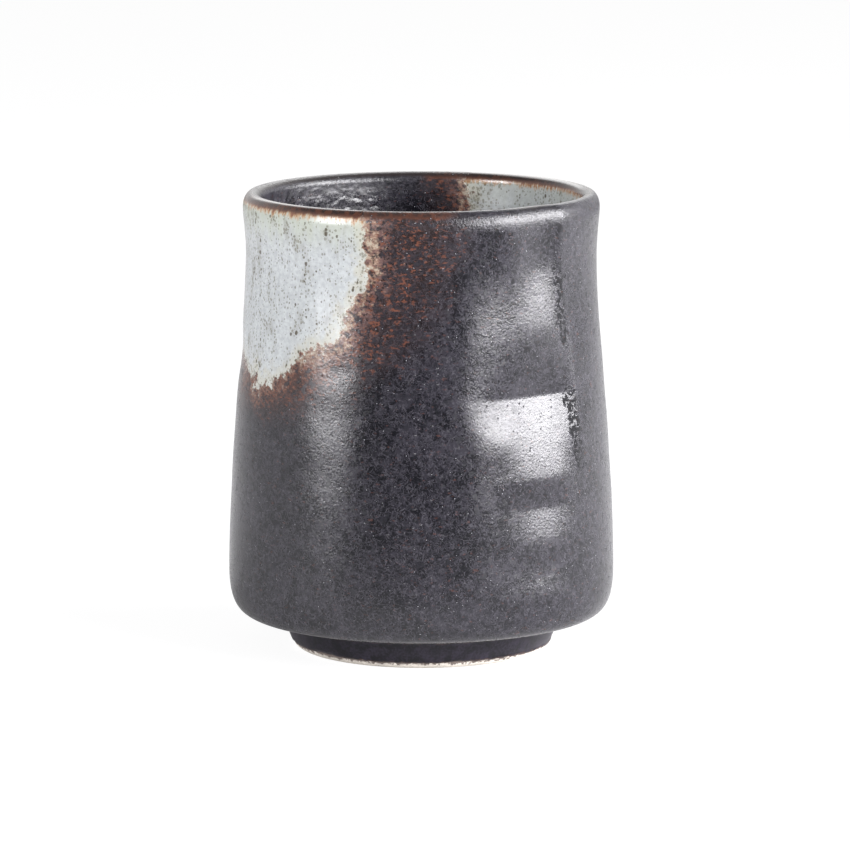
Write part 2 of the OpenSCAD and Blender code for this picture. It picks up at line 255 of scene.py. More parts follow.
class StageLooks(bpy.types.PropertyGroup):
    """Camera distance and lights of the studio."""
    distance: length("Camera distance", "From the camera to the cup's axis", 1058)
    look_z: length("Look height", "Height that the camera looks at", 46.09)
    pitch: turn("Camera pitch", "How far the camera looks down", 9.492)
    key_angle: turn("Key angle", "Turn of the right light from the front", 68)
    key_low: length("Key height", "Height of the right light's lower edge", 108)
    key_power: power("Key light", "Power of the right light", 56.0)
    fill_angle: turn("Fill angle", "Turn of the left light from the front", -58)
    fill_low: length("Fill height", "Height of the left light's lower edge", 72)
    fill_power: power("Fill light", "Power of the left light", 14.0)
    ambient: FloatProperty(name="Ambient", description="Strength of the room's even light", default=0.3)
    floor_grey: FloatProperty(name="Floor", description="Tone of the floor", default=0.8,
                              min=0.0, max=1.0)


def eased(start, end, start_slope, end_slope, span, t):
    """A cubic from start to end over span, with the given slope at each end, at share t."""
    return ((2 * t**3 - 3 * t**2 + 1) * start + (3 * t**2 - 2 * t**3) * end
            + (t**3 - 2 * t**2 + t) * span * start_slope + (t**3 - t**2) * span * end_slope)


def smooth(t):
    """Zero below 0, one above 1, and an even S between."""
    t = np.clip(t, 0, 1)
    return t * t * (3 - 2 * t)


def wall_radius(cup, z):
    """Radius of the glazed wall at height z: three cubics join belly, middle, neck and lip."""
    neck_r = BELLY_R - cup.neck_in
    knots = [(cup.belly_z, BELLY_R, 0), (cup.middle_z, BELLY_R - cup.middle_in, -np.tan(cup.middle_lean)),
             (cup.neck_z, neck_r, 0), (CUP_H - cup.wall_t / 2, neck_r + cup.lip_out, 0)]
    low, mid, top = (eased(r0, r1, slope0, slope1, z1 - z0, (z - z0) / (z1 - z0))
                     for (z0, r0, slope0), (z1, r1, slope1) in zip(knots, knots[1:]))
    return np.select([z < knot_z for knot_z, _, _ in knots[:3]], [BELLY_R + 0 * z, low, mid], top)


def shoulder_turn(cup, z):
    """How far the lip's outer rounding, a quarter of an ellipse, turns in at height z."""
    rise = np.clip((z - CUP_H + cup.shoulder) / cup.shoulder, 0, 1)
    return cup.wall_t / 2 * (1 - np.sqrt(1 - rise**2))


def fallen(away, unit, before, before_fall, after, after_fall):
    """One at no distance, falling to zero at the reach before it and at the reach after it,
    both in the given unit: (1 - t)^power * (1 + slope * t), with t the share of the reach."""
    t = np.clip(np.abs(away / (np.where(away < 0, before, after) * unit)), 0, 1)
    power, slope = (np.where(away < 0, *pair) for pair in zip(before_fall, after_fall))
    return (1 - t)**power * (1 + slope * t)


def pressed(cup, a, z):
    """How far the fingers moved the wall at angle a and height z: a sum of hollows, each the
    product of a fall round the cup and a fall up it."""
    total = 0
    for place, height, *reaches, depth in MARKS:
        away = (a - 2 * pi * place + pi) % (2 * pi) - pi
        above = z - cup.belly_z - (cup.neck_z - cup.belly_z) * height
        beside = fallen(away, cup.mark_spread, *reaches[:4])
        total = total - depth * beside * fallen(above, cup.mark_h, *reaches[4:])
    return cup.mark_depth * total


def rippled(cup, a, z):
    """Slow unevenness of a thrown wall: sine waves of whole numbers round the cup that also
    climb it, strongest where they lie level, as a thrower's rings do."""
    draw = np.random.default_rng(7)
    total = 0
    for _ in range(26):
        waves = draw.integers(0, 9)
        rise = draw.uniform(-1, 1) * 2 * pi / (draw.uniform(11, 34) * MM)
        share = draw.uniform(0.3, 1) / (1 + 0.25 * waves)
        total = total + share * np.sin(waves * a + rise * z + draw.uniform(0, 2 * pi))
    window = smooth((z - 9 * MM) / (8 * MM)) * smooth((CUP_H - 3 * MM - z) / (5 * MM))
    return cup.ripple * 0.5 * total * window


def profile(r, z):
    """Points of a section, from radii and heights."""
    return np.stack(np.broadcast_arrays(r, z), 1)


def ring_angles(count):
    """Even turns round the axis, as one row."""
    return np.linspace(0, 2 * pi, count, endpoint=False)[None, :]


def turned(r, z, a):
    """Points at radius r and height z, turned round the axis by angle a from the front."""
    return np.stack(np.broadcast_arrays(r * np.sin(a), -r * np.cos(a), z), 2)


def section(cup):
    """The glazed section from the foot up the outside, over the lip, down the inside and in
    across the floor: a line, a Bezier curve, the wall's cubics, a quarter of an ellipse and of
    a circle, the wall again moved in by its thickness, a quarter circle and a line. Returns
    radii, heights and the row at which each stretch starts."""
    half = cup.wall_t / 2
    lip_z = CUP_H - half
    lip_r = BELLY_R - cup.neck_in + cup.lip_out
    floor_z = FLOOR_CLAY_Z + cup.glaze_t
    rise = np.array([1, np.tan(cup.underside_rise)])
    seam = np.array([FOOT_TOP_R, SEAT_Z - cup.glaze_t])
    under = seam + cup.underside_w * rise
    belly = np.array([BELLY_R, cup.belly_z])
    pull = UNDERSIDE_PULL * (BELLY_R - under[0]) * rise
    drop = np.array([0, BELLY_PULL * (cup.belly_z - under[1])])

    t = np.linspace(0, 1, UNDER_ROWS, endpoint=False)[:, None]
    underside = seam * (1 - t) + under * t
    t = np.linspace(0, 1, BELLY_ROWS, endpoint=False)[:, None]
    curve = ((1 - t)**3 * under + 3 * (1 - t)**2 * t * (under + pull)
             + 3 * (1 - t) * t**2 * (belly - drop) + t**3 * belly)
    z = np.linspace(cup.belly_z, lip_z, WALL_ROWS, endpoint=False)
    wall = profile(wall_radius(cup, z) - shoulder_turn(cup, z), z)
    t = np.linspace(np.arcsin(1 - half / cup.shoulder), pi / 2, LIP_OUT_ROWS, endpoint=False)
    lip_out = profile(lip_r - half + half * np.cos(t), CUP_H - cup.shoulder * (1 - np.sin(t)))
    t = np.linspace(pi / 2, pi, LIP_IN_ROWS, endpoint=False)
    lip_in = profile(lip_r - half + half * np.cos(t), lip_z + half * np.sin(t))
    corner_z = floor_z + cup.floor_round
    z = np.linspace(lip_z, corner_z, INNER_ROWS, endpoint=False)
    inner = profile(wall_radius(cup, z) - cup.wall_t, z)
    corner_r = wall_radius(cup, np.array(corner_z)) - cup.wall_t - cup.floor_round
    t = np.linspace(0, pi / 2, CORNER_ROWS, endpoint=False)
    corner = profile(corner_r + cup.floor_round * np.cos(t), corner_z - cup.floor_round * np.sin(t))
    floor = profile(np.linspace(corner_r, 0, FLOOR_ROWS), floor_z)
    parts = [underside, curve, wall, np.concatenate([lip_out, lip_in]), inner, corner, floor]
    rows = np.concatenate(parts)
    return rows[:, 0], rows[:, 1], np.cumsum([0] + [len(part) for part in parts])


class Surface:
    """The whole glazed surface as one grid of points with its normals, from which each coat
    takes its rows, so that neighbouring coats meet without a seam."""

    def __init__(self, cup):
        self.cup = cup
        self.r, self.z, self.starts = section(cup)
        self.angles = ring_angles(cup.columns)
        run, rise = np.gradient(self.r), np.gradient(self.z)
        self.way = profile(rise, -run) / np.hypot(run, rise)[:, None]
        self.points = self.lifted(np.arange(len(self.r)), 0)
        self.normals = grid_normals(self.points, True)

    def lifted(self, rows, t):
        """Rings of points for some rows, moved out from the glazed face by t: the section's
        point and its outward direction, turned round the axis, with the marks pressed in."""
        a = self.angles
        z = self.z[rows][:, None]
        fade = smooth(self.r[rows] / FADE_R)[:, None]
        r = (self.r[rows] + t * self.way[rows, 0])[:, None]
        r = r + fade * (pressed(self.cup, a, z) + rippled(self.cup, a, z))
        r = np.where(self.r[rows][:, None] > 0, r, 0)
        return turned(r, (self.z[rows] + t * self.way[rows, 1])[:, None], a)


def grid_normals(points, wraps):
    """Unit normals of a grid: across the rows and along the columns, crossed. Where they
    vanish, as at a pole, the normal points up."""
    up = np.gradient(points, axis=0)
    side = (np.roll(points, -1, 1) - np.roll(points, 1, 1)) if wraps else np.gradient(points, axis=1)
    n = np.cross(side, up)
    size = np.linalg.norm(n, axis=2, keepdims=True)
    n = n / np.maximum(size, TINY)
    n[size[..., 0] < TINY] = UP
    return n


def placed(name, data):
    """A new object with this data, in the scene."""
    thing = bpy.data.objects.new(name, data)
    bpy.context.scene.collection.objects.link(thing)
    return thing


def quads(a, b, c, d):
    """Faces from four grids of corner numbers."""
    return np.stack([a, b, c, d], -1).reshape(-1, 4)


def rings_mesh(points, normals, closed, *tag):
    """Joins rings of points, each to the next and the last to the first when closed, into one
    closed mesh. A ring of radius zero becomes a single pole. Corners that have a normal keep
    it, and the others are shaded flat. The tag is what face_mesh takes last."""
    rows, cols = points.shape[:2]
    index = np.arange(rows * cols).reshape(rows, cols)
    for row in [] if closed else (0, rows - 1):
        if np.allclose(points[row, :, :2], 0):
            index[row] = index[row, 0]
    low = index[:rows if closed else rows - 1]
    high = np.roll(index, -1, 0)[:len(low)]
    faces = quads(low, np.roll(low, -1, 1), np.roll(high, -1, 1), high)
    return face_mesh(points.reshape(-1, 3), faces, normals.reshape(-1, 3), *tag)


def face_mesh(points, corners, normals, name, material, replaced, slot):
    """A closed mesh from faces of four corners, of which a triangle repeats one."""
    used, corners = np.unique(corners, return_inverse=True)
    corners = corners.reshape(-1, 4)
    points, normals = points[used], normals[used]
    shaded = np.linalg.norm(normals, axis=1) > 0.5
    repeats = corners == np.roll(corners, -1, 1)
    faces = [face[~same].tolist() for face, same in zip(corners, repeats)]
    mesh = bpy.data.meshes.new(name)
    mesh.from_pydata(points.tolist(), [], faces)
    piece = placed(name, mesh)
    mesh.materials.append(material)
    smooth_face = np.array([shaded[f].all() for f in faces])
    mesh.polygons.foreach_set("use_smooth", smooth_face)
    keep = np.repeat(smooth_face, [len(f) for f in faces])[:, None]
    mesh.normals_split_custom_set((normals[np.concatenate(faces)] * keep).tolist())
    mesh.update()
    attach(piece, "root")
    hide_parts(*replaced)
    return piece


def coat(surface, first, last, skip, *tag):
    """A coat of glaze between two rows: its face as fine as the surface, and its clay side
    from every skip-th row, a glaze's thickness below. A coat that runs to the floor's pole is a
    bowl, from the pole of its clay side out and up to the lip, and down its face again."""
    face_rows = np.arange(first, last + 1)
    clay_rows = np.unique(np.append(face_rows[::skip], last))[::-1]
    clay = surface.lifted(clay_rows, -surface.cup.glaze_t)
    bowl = last == len(surface.r) - 1
    order = -1 if bowl else 1
    points = np.concatenate([surface.points[face_rows], clay][::order])
    normals = np.concatenate([surface.normals[face_rows], 0 * clay][::order])
    return rings_mesh(points, normals, not bowl, *tag)


def patch(cup, angle, half, drop, inside, *tag):
    """A thin lens of pale glaze on the wall. Rows go down from the lip and columns across,
    within an ellipse. Its top rises from just under the dark glaze at the edge to the pale
    glaze's thickness, and its underside lies below the dark surface."""
    lip_z = CUP_H - cup.wall_t / 2
    s = np.sin(np.linspace(0, pi / 2, PATCH_ROWS))[:, None]
    c = np.linspace(-1, 1, PATCH_COLUMNS)[None, :]
    z = lip_z - drop * s + 0 * c
    r = wall_radius(cup, z) - (cup.wall_t if inside else shoulder_turn(cup, z))
    a = angle + half / wall_radius(cup, np.array(lip_z)) * np.sqrt(np.maximum(1 - s**2, 0.02)) * c
    r = r + pressed(cup, a, z) + rippled(cup, a, z)
    # The nearest of the sides, the tip and the top, each in shares of its own margin
    edge = np.minimum(np.minimum((1 - np.abs(c)) / 0.4, (1 - s) / 0.3), s / 0.5)
    lift = -PATCH_SINK + (cup.pale_t + PATCH_SINK) * smooth(edge)
    way = -1 if inside else 1
    top = turned(r + way * lift, z, a)[::-way]
    seat = turned(r - way * 2.5 * PATCH_SINK, z, a)[::-way]
    index = np.arange(z.size).reshape(z.shape)
    under = index + z.size
    faces = np.concatenate([
        quads(index[:-1, :-1], index[:-1, 1:], index[1:, 1:], index[1:, :-1]),
        quads(under[:-1, :-1], under[1:, :-1], under[1:, 1:], under[:-1, 1:]),
        quads(index[0, 1:], index[0, :-1], under[0, :-1], under[0, 1:]),
        quads(index[-1, :-1], index[-1, 1:], under[-1, 1:], under[-1, :-1]),
        quads(index[:-1, 0], index[1:, 0], under[1:, 0], under[:-1, 0]),
        quads(index[1:, -1], index[:-1, -1], under[:-1, -1], under[1:, -1]),
    ])
    points = np.concatenate([top, seat]).reshape(-1, 3)
    normals = np.concatenate([grid_normals(top, False), 0 * seat]).reshape(-1, 3)
    return face_mesh(points, faces, normals, *tag)


def edge_wander(a, seed):
    """A ragged edge round the foot: sine waves of whole numbers round it, to about 1 each way."""
    draw = np.random.default_rng(seed)
    total = 0
    for waves in (2, 3, 5, 7, 11, 16, 23, 31, 44, 61, 83):
        total = total + draw.uniform(0.5, 1) / waves**0.45 * np.sin(waves * a + draw.uniform(0, 2 * pi))
    return total / 2


def grain(a, z):
    """A fine unevenness of clay: a sum of sine waves round and up the foot."""
    draw = np.random.default_rng(3)
    total = 0
    for _ in range(24):
        waves = draw.integers(5, 90)
        climb = draw.uniform(0, 2 * pi) / (0.9 * MM)
        total = total + np.sin(waves * a + climb * z + draw.uniform(0, 2 * pi))
    return GRAIN_H * total / 8


def clay_edge(foot, cup, z):
    """Radius of the foot's clay at height z: a straight taper, and a quarter circle below it."""
    low_r = FOOT_TOP_R - foot.taper
    below = np.clip(foot.edge - z, 0, foot.edge)
    rounded = low_r - foot.edge + np.sqrt(foot.edge**2 - below**2)
    above = np.minimum(z, RING_TOP_Z) - foot.edge
    tapered = low_r + (FOOT_TOP_R - cup.glaze_t - low_r) * above / (RING_TOP_Z - foot.edge)
    return np.where(z > foot.edge, tapered, rounded)


def foot_ring_piece(foot, cup, material):
    """The foot ring: inner side down, two rounded edges and the flat between, the tapered
    outer side up and the top in, closed round and turned about the axis."""
    low_r = FOOT_TOP_R - foot.taper
    t = np.linspace(0, pi / 2, 14)
    inner = profile(FOOT_IN_R + foot.inner_edge * (1 - np.cos(t)), foot.inner_edge * (1 - np.sin(t)))
    outer = profile(low_r - foot.edge * (1 - np.sin(t)), foot.edge * (1 - np.cos(t)))
    z = np.linspace(foot.edge, RING_TOP_Z, 24)[1:]
    side = profile(clay_edge(foot, cup, z), z)
    inside = profile(FOOT_IN_R, np.linspace(RING_TOP_Z, foot.inner_edge, 16)[:-1])
    rows = np.concatenate([inner, outer, side, inside])
    a, r, z = ring_angles(FOOT_COLUMNS), rows[:, :1], rows[:, 1:]
    points = turned(r + grain(a, z), z, a)
    normals = grid_normals(np.concatenate([points[-2:], points, points[:2]]), True)[2:-2]
    return rings_mesh(points, normals, True, "foot_ring_clay", material, ["foot_ring"], "foot_clay")


def foot_glaze_piece(foot, cup, material):
    """The foot's glaze: from a small fillet under the belly down the side to a rounded bead
    whose height wanders round the foot, and back up along the clay."""
    a = ring_angles(EDGE_COLUMNS)
    low = foot.bare_h + foot.wander * edge_wander(a, 11) + foot.lift * np.cos(a - foot.lift_angle)
    low = np.maximum(low, 0.25 * foot.edge)
    z = SEAT_Z - 0.02 * MM + (low - SEAT_Z) * np.linspace(0, 1, 40)[:, None]
    clay_r = clay_edge(foot, cup, z)
    thick = cup.glaze_t * np.sqrt(np.clip((z - low) / BEAD_H, 0, 1))
    fillet = 0.9 * MM
    into = np.clip(z - (SEAT_Z - cup.glaze_t - fillet), 0, fillet)
    flare = fillet - np.sqrt(np.maximum(fillet**2 - into**2, 0))
    face = turned(clay_r + thick + flare, z, a)[::-1]
    back = turned(clay_r - 0.05 * MM, z, a)
    points = np.concatenate([face, back])
    normals = np.concatenate([grid_normals(face, True), 0 * back])
    return rings_mesh(points, normals, True, "foot_glaze_coat", material, ["foot_glaze"], "foot_glaze")


def base_glaze_piece(foot, cup, material):
    """The glaze in the hollow under the cup: out from a pole, round a fillet, down the ring's
    inner side to a wandering edge, and back up the clay to the other pole."""
    a = ring_angles(FOOT_COLUMNS)
    low_z = SEAT_Z - cup.glaze_t
    face_r = FOOT_IN_R - cup.glaze_t
    fillet = 1.6 * MM
    edge = np.maximum(foot.bare_h + foot.wander * edge_wander(a, 5), foot.inner_edge)
    disc = profile(np.linspace(0, face_r - fillet, 40), low_z)
    t = np.linspace(0, pi / 2, 12)[1:]
    bend = profile(face_r - fillet * (1 - np.sin(t)), low_z - fillet * (1 - np.cos(t)))
    flat = np.concatenate([disc, bend])
    z = bend[-1, 1] + (edge - bend[-1, 1]) * np.linspace(0, 1, 22)[1:, None]
    skirt_r = face_r + cup.glaze_t * (1 - np.sqrt(np.clip((z - edge) / BEAD_H, 0, 1)))
    face = np.concatenate([turned(flat[:, :1], flat[:, 1:], a), turned(skirt_r, z, a)])
    back = turned(FOOT_IN_R, edge + (SEAT_Z - edge) * np.linspace(0.05, 1, 6)[:, None], a)
    top = turned(np.linspace(FOOT_IN_R, 0, 8)[1:, None], SEAT_Z, a)
    points = np.concatenate([face, back, top])
    normals = np.concatenate([grid_normals(face, True), 0 * back, 0 * top])
    normals[0] = (0, 0, -1)
    return rings_mesh(points, normals, False, "base_glaze_coat", material, ["base_glaze"], "foot_glaze")


class Wire:
    """An output of a node, on which Python's arithmetic adds Math nodes."""

    def __init__(self, sheet, socket):
        self.sheet, self.socket = sheet, socket

    def __add__(self, other):
        return self.sheet.math("ADD", self, other)

    __radd__ = __add__

    def __sub__(self, other):
        return self.sheet.math("SUBTRACT", self, other)

    def __rsub__(self, other):
        return self.sheet.math("SUBTRACT", other, self)

    def __mul__(self, other):
        return self.sheet.math("MULTIPLY", self, other)

    __rmul__ = __mul__

    def __truediv__(self, other):
        return self.sheet.math("DIVIDE", self, other)


class Sheet:
    """The node sheet of a material or of the world."""

    def __init__(self, owner):
        owner.use_nodes = True
        self.owner, self.tree, self.place = owner, owner.node_tree, None
        self.tree.nodes.clear()

    def node(self, kind, settings=None, inputs=None, output=0):
        """Adds a node: its settings first, then its inputs, by name or number, as values or
        wires. Returns one output as a wire, or a list of wires for a list of outputs."""
        node = self.tree.nodes.new("ShaderNode" + kind)
        for name, value in (settings or {}).items():
            setattr(node, name, value)
        for key, value in (inputs or {}).items():
            if isinstance(value, Wire):
                self.tree.links.new(value.socket, node.inputs[key])
            else:
                node.inputs[key].default_value = value
        if isinstance(output, list):
            return [Wire(self, node.outputs[name]) for name in output]
        return Wire(self, node.outputs[output]) if node.outputs else None

    def math(self, operation, *values):
        """A Math node with this operation."""
        return self.node("Math", {"operation": operation}, dict(enumerate(values)))

    def step(self, value, low, high):
        """Zero at low, one at high, smooth between."""
        return self.node("MapRange", {"interpolation_type": "SMOOTHSTEP"},
                         {"Value": value, "From Min": low, "From Max": high})

    def step_mm(self, value, low, high, start=0):
        """A step on a length, between two places in millimetres from a start in metres."""
        return self.step(value, start + low * MM, start + high * MM)

    def mix(self, factor, a, b):
        """Colour a where factor is 0 and b where it is 1."""
        a, b = (tint if isinstance(tint, Wire) else (*tint, 1.0) for tint in (a, b))
        return self.node("Mix", {"data_type": "RGBA"}, {0: factor, 6: a, 7: b}, 2)

    def over(self, base, *layers):
        """Lays colours over a base, one after another, each by its own factor."""
        for factor, tint in layers:
            base = self.mix(factor, base, tint)
        return base

    def where(self):
        """The object's coordinates."""
        if self.place is None:
            self.place = self.node("TexCoord", output=3)
        return self.place

    def dot(self, vector, direction):
        """How far a vector reaches along a fixed direction."""
        return self.node("VectorMath", {"operation": "DOT_PRODUCT"}, {0: vector, 1: direction}, 1)

    def along(self, direction):
        """The object's coordinate along a fixed direction."""
        return self.dot(self.where(), direction)

    def squeezed(self, rise):
        """The object's coordinates with the height multiplied by rise."""
        return self.node("VectorMath", {"operation": "MULTIPLY"}, {0: self.where(), 1: (1, 1, rise)})

    def noise(self, size, detail, roughness, rise=None, warp=0.0):
        """Noise from 0 to 1 whose features are about size millimetres wide, and that over rise
        high."""
        return self.node("TexNoise", {}, {
            "Vector": self.squeezed(rise) if rise else self.where(), "Scale": 1 / (size * MM),
            "Detail": detail, "Roughness": roughness, "Distortion": warp})

    def cells(self, size, rise=None):
        """Voronoi cells about size millimetres wide: the distance from the nearest cell's
        point, in shares of the size, and that cell's own chance, from 0 to 1."""
        distance, tint = self.node("TexVoronoi", {}, {
            "Vector": self.squeezed(rise) if rise else self.where(), "Scale": 1 / (size * MM)},
            ["Distance", "Color"])
        return distance, self.node("SeparateColor", {}, {0: tint})

    def bump(self, height, distance, strength):
        """The normal of a relief that is height times distance."""
        return self.node("Bump", {}, {"Height": height, "Distance": distance, "Strength": strength})

    def tipped(self, normal, amount):
        """A normal with an amount added to its height, made one long again."""
        lift = self.node("CombineXYZ", {}, {2: amount})
        total = self.node("VectorMath", {"operation": "ADD"}, {0: normal, 1: lift})
        return self.node("VectorMath", {"operation": "NORMALIZE"}, {0: total})

    def finished(self, base, rough, normal, **others):
        """Puts a Principled shader on the material's output and returns the material."""
        inputs = {"Base Color": base, "Roughness": rough, "Normal": normal, **others}
        self.node("OutputMaterial", {}, {"Surface": self.node("BsdfPrincipled", {}, inputs)})
        return self.owner


def toned(colour, share):
    """A colour made darker, to a share of its light."""
    return [share * c for c in colour]


def reach(sheet, angle, half, drop, lobes=()):
    """How far a place lies from a patch's middle at the lip, 1 on its edge: the square root of
    (across / half)^2 + (down / drop)^2, changed by a bell-shaped lobe at each listed angle."""
    ahead = sheet.along((sin(angle), -cos(angle), 0))
    beside = sheet.along((cos(angle), sin(angle), 0))
    across_wall = sheet.math("ARCTAN2", beside, ahead) * (BELLY_R - WALL_IN)
    down = CUP_H - sheet.along(UP)
    u, v = across_wall / half, down / drop
    q = sheet.math("SQRT", u * u + v * v)
    polar = sheet.math("ARCTAN2", across_wall, down)
    for place, spread, size in lobes:
        t = (polar - radians(place)) / radians(spread)
        q = q - size * sheet.math("POWER", 2.718, t * t * -1)
    return q


def dark_glaze(sheet, looks):
    """Colour and tone of the satin iron glaze: soft mottling of a third of a millimetre and of
    one and a half over slow clouds, with pale veins where a warped noise crosses its middle,
    and blue-black spots that a fine noise breaks up."""
    fine = sheet.noise(0.36, 3.0, 0.65)
    mottle = sheet.noise(1.5, 3.0, 0.6)
    cloud = sheet.noise(7, 4.0, 0.6)
    tone = sheet.step(fine * 0.36 + mottle * 0.36 + cloud * 0.28, 0.43, 0.57)
    vein = sheet.math("ABSOLUTE", sheet.noise(1.2, 3.0, 0.6, warp=0.8) - 0.5)
    spot = sheet.step(sheet.noise(1.2, 1.0, 0.5) + (cloud - 0.5) * 0.2, 0.59, 0.66)
    base = sheet.over(
        sheet.mix(tone, looks.iron_dark, looks.iron_grey),
        (sheet.step(vein, 0.03, 0.0) * 0.8, looks.vein),
        (spot * sheet.step(fine, 0.38, 0.62) * 0.85, looks.iron_spot))
    return base, tone, spot


def glints(sheet, size):
    """Pinholes at rather more than half of the cells' points: a painted glint in the middle,
    standing in for the highlight that each pinhole catches, and the dark ring round it."""
    distance, chance = sheet.cells(size)
    chosen = sheet.step(chance, 0.42, 0.46)
    return sheet.step(distance, 0.10, 0.05) * chosen, sheet.step(distance, 0.24, 0.15) * chosen


def specks(sheet, size, crowd, rise):
    """Round specks at the cells' points. Each cell's own chance makes its speck large, small
    or none, and crowd adds to that chance."""
    distance, chance = sheet.cells(size, rise)
    radius = (chance + crowd) * 0.5 - 0.12
    return sheet.step(radius - distance, 0.0, 0.07)


def blisters(sheet, size, crowd):
    """Low domes at some of the cells' points: 1 - (distance / radius)^2, with each cell's own
    chance and crowd in the radius."""
    distance, chance = sheet.cells(size)
    radius = sheet.math("MAXIMUM", (chance + crowd) * 0.3, 0.001)
    share = sheet.math("MINIMUM", distance / radius, 1.0)
    return (1 - share * share) * sheet.step(radius, 0.06, 0.12)


def crawl_line(sheet):
    """Beads along a ragged line where the glaze crawled beside the deepest finger marks: 1 near
    a turn that lessens up the wall, moved by noise, with few in the line's gap and past its
    ends. The outer glaze paints these beads near black, partly the crawled glaze's dark body
    and partly painted shade of the crease."""
    height = sheet.along(UP)
    turn_now = sheet.math("ARCTAN2", sheet.along(RIGHT), sheet.along(FRONT))
    middle = CRAWL_TURN - (height - CRAWL_LOW) * CRAWL_SLANT
    away = (turn_now - middle) * 37 * MM + (sheet.noise(2.2, 3.0, 0.7) - 0.5) * 5 * MM
    gap = sheet.step_mm(sheet.math("ABSOLUTE", height - CRAWL_GAP), 3, 6)
    ends = sheet.step_mm(height, 38, 44) * sheet.step_mm(height, 87, 80) * gap
    beads = sheet.step(sheet.noise(0.9, 2.0, 0.65) - (1 - ends) * 0.2, 0.45, 0.53)
    return sheet.step_mm(sheet.math("ABSOLUTE", away), 1.8, 0.9) * beads


def patch_layers(sheet, looks, base, q, halo, extra):
    """Lays a pale patch and its halo over a base colour. Brown and mauve blotches with rust
    flecks thin out towards the halo's edge. The pale glaze has a cream fringe, a green and
    amber upper part and iron specks that crowd in streaks, the more of them the larger extra
    is. Returns the colour, how pale a place is and how brown."""
    wide = sheet.noise(7, 3.0, 0.55) - 0.5
    near = sheet.noise(1.5, 4.0, 0.65) - 0.5
    blot = sheet.noise(1.3, 4.0, 0.7, 1.4) - 0.5
    fleck = sheet.noise(1.3, 3.0, 0.6, 2.1)
    down = CUP_H - sheet.along(UP)
    edge = (1 - q) * 30 * MM - 1.0 * MM + wide * 7 * MM + near * 5.5 * MM
    brown = sheet.step_mm((1 - halo) * 46 * MM + wide * 12 * MM, -3, 10)
    mauve = sheet.step_mm(edge + blot * 6 * MM, -7, -1)
    dusk = sheet.step(sheet.noise(1.2, 2.0, 0.55), 0.50, 0.60)
    soot = sheet.step(sheet.noise(0.9, 3.0, 0.6, 1.3), 0.54, 0.64)
    rust = sheet.step(fleck + brown * 0.11, 0.63, 0.71)
    low = sheet.step_mm(down, 26, 35) * 0.9
    island = edge + blot * 13 * MM + near * 5 * MM
    base = sheet.over(
        base,
        (brown * 0.28, looks.brown),
        (mauve * brown * 0.85, sheet.mix(low, looks.brown_light, toned(looks.rust, 0.42))),
        (rust * (0.26 + brown * 0.55), looks.rust),
        (dusk * brown * 0.9, toned(looks.iron_grey, 0.8)),
        (soot * brown * 0.9, looks.lip),
        (sheet.step_mm(island, -2.6, 0.4) * 0.6, sheet.mix(low, looks.tan, looks.rust)),
        (sheet.step_mm(island, -0.6, 1.4) * (0.55 - low * 0.4), looks.cream))

    streak = sheet.noise(1.5, 3.0, 0.6, 0.22) - 0.5
    cloud = sheet.noise(0.9, 4.0, 0.65)
    green = sheet.step_mm(down + streak * 12 * MM, 10, 1.0)
    fringe = sheet.step_mm(edge + near * 6 * MM, 4.2, 0.2)
    crowd = sheet.noise(3.2, 3.0, 0.6, 0.45) - 0.5
    rim = sheet.step_mm(edge, 2.5, 0.2) * 0.25 + green * 0.06 + extra
    small = specks(sheet, 0.55, crowd * 1.7 + 0.24 + rim, 0.85)
    large = specks(sheet, 1.05, crowd * 2.4 - 0.22 + rim, 0.8)
    stain = sheet.step(crowd + (cloud - 0.5) * 0.6, 0.02, 0.22)
    drip = sheet.noise(0.8, 3.0, 0.65, 0.3) - 0.5
    body = sheet.over(
        sheet.mix(sheet.step(cloud, 0.36, 0.66), toned(looks.pale, 0.80), looks.pale),
        (green * (0.8 - extra * 8), looks.pale_green),
        (fringe * 0.6, looks.cream),
        (stain * (0.36 + extra * 3), looks.olive),
        (small * 0.6, looks.olive),
        (large * 0.8, looks.speck),
        (sheet.step_mm(down + drip * 4.5 * MM, 2.6, 1.3) * 0.85, looks.amber),
        (sheet.step_mm(down + drip * 5 * MM, 1.9, 0.8) * 0.9, looks.rust))
    pale = sheet.step_mm(edge, 0.0, 0.5)
    return sheet.mix(pale, base, body), pale, brown


def lip_layers(sheet, looks, cup, inner_side, outer_side):
    """The lip's colour and how pale it is: the inner side's pass into the outer side's at the
    crest, which is worn to rust beside the pale patches and to black elsewhere."""
    lip_z = CUP_H - cup.wall_t / 2
    x, y = sheet.along(RIGHT), sheet.along((0, 1, 0))
    crest_r = BELLY_R - cup.neck_in + cup.lip_out - cup.wall_t / 2
    across_lip = sheet.math("SQRT", x * x + y * y) - crest_r
    outward = sheet.step_mm(across_lip, -0.3, 0.3)
    base = sheet.mix(outward, inner_side[0], outer_side[0])
    pale, brown = (inner + (outer - inner) * outward
                   for inner, outer in zip(inner_side[1:], outer_side[1:]))
    wave = sheet.noise(2.2, 3.0, 0.6, 0.3) - 0.5
    height = sheet.along(UP) + wave * 0.8 * MM
    warm = sheet.step(pale + brown * 0.9, 0.2, 0.8)
    worn = sheet.step_mm(height, 0.2, 0.9, lip_z)
    inward = 1 - sheet.step_mm(across_lip + wave * 0.8 * MM, -0.55, 0.5)
    bare = sheet.step_mm(height, 0.7, 1.4, lip_z)
    dark = sheet.step(sheet.noise(1.0, 3.0, 0.6, 0.3), 0.38, 0.58)
    dark = inward * (1 - warm * 0.5) + warm * dark * 0.9
    base = sheet.over(
        base,
        (worn * warm * 0.95, toned(looks.rust, 0.45)),
        (bare * sheet.math("MINIMUM", dark, 1.0) * 0.92, looks.lip))
    return base, pale


